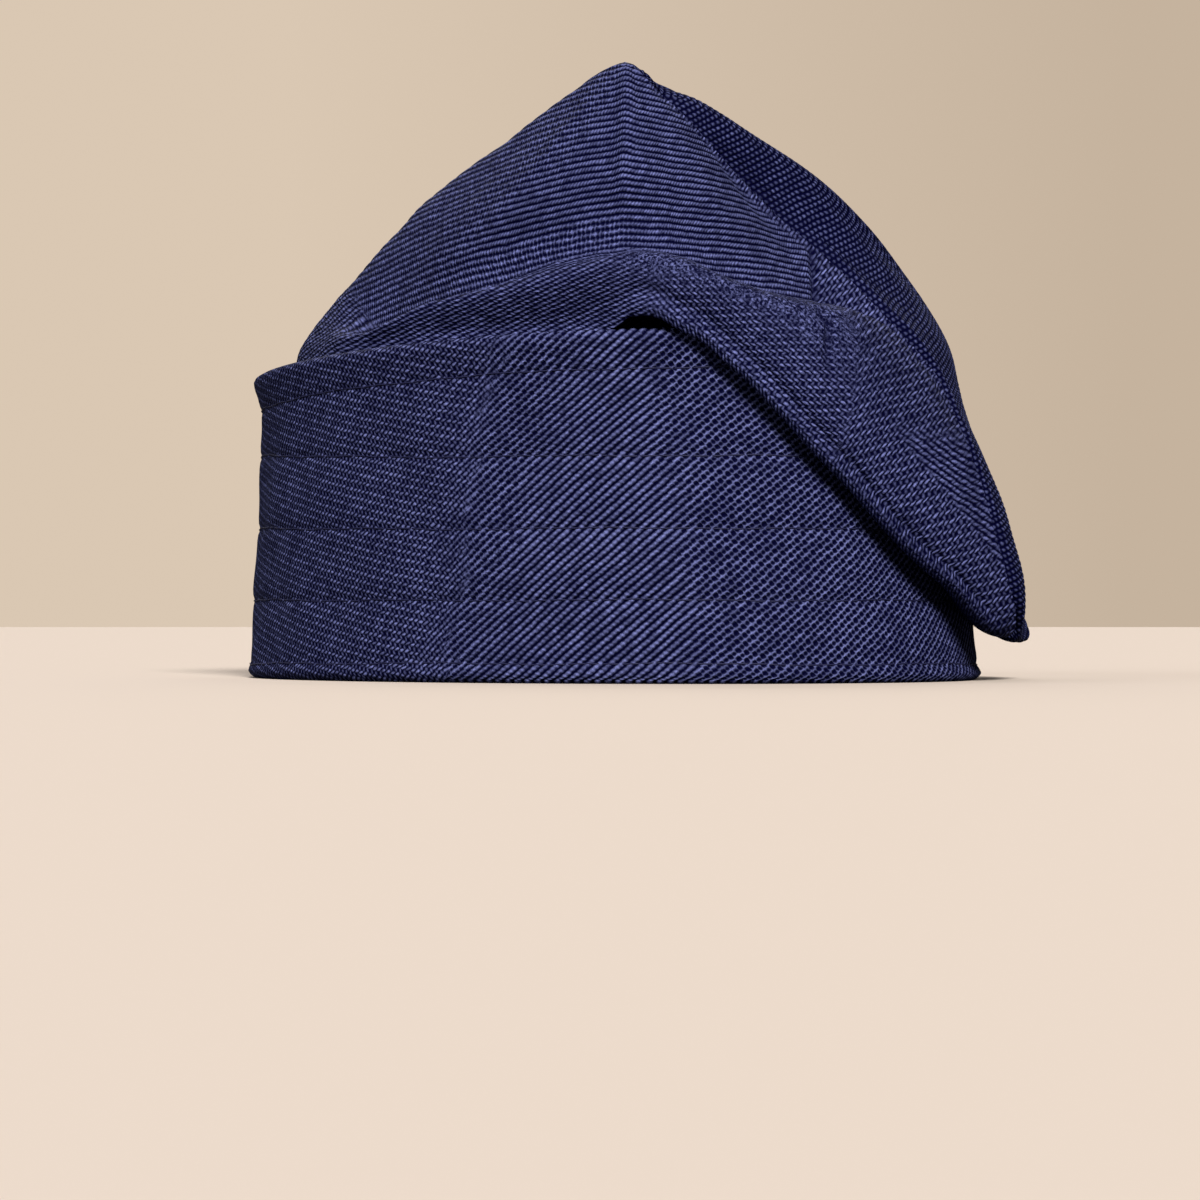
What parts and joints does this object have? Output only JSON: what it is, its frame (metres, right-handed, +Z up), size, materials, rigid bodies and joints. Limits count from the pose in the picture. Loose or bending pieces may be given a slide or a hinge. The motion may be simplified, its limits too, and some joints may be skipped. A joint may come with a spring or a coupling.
{
  "type": "fila cap",
  "caption": "Soft woven cloth cap with a stiff upright band and a bag-shaped crown that rises to a peak and folds over the band on one side.",
  "frame": {"origin": "middle of the cap's box in plan, at the rim", "axes": "+Z up from the rim to the peak, -Y the wearer's front, +X the wearer's left"},
  "size_m": [0.1748, 0.2176, 0.15],
  "materials": {
    "band_cloth": "matt woven cloth",
    "crown_front_cloth": "matt woven cloth",
    "crown_back_cloth": "matt woven cloth"
  },
  "bodies": {
    "root": {"band": "band_cloth", "crown_front": "crown_front_cloth", "crown_back": "crown_back_cloth"}
  },
  "joints": []
}
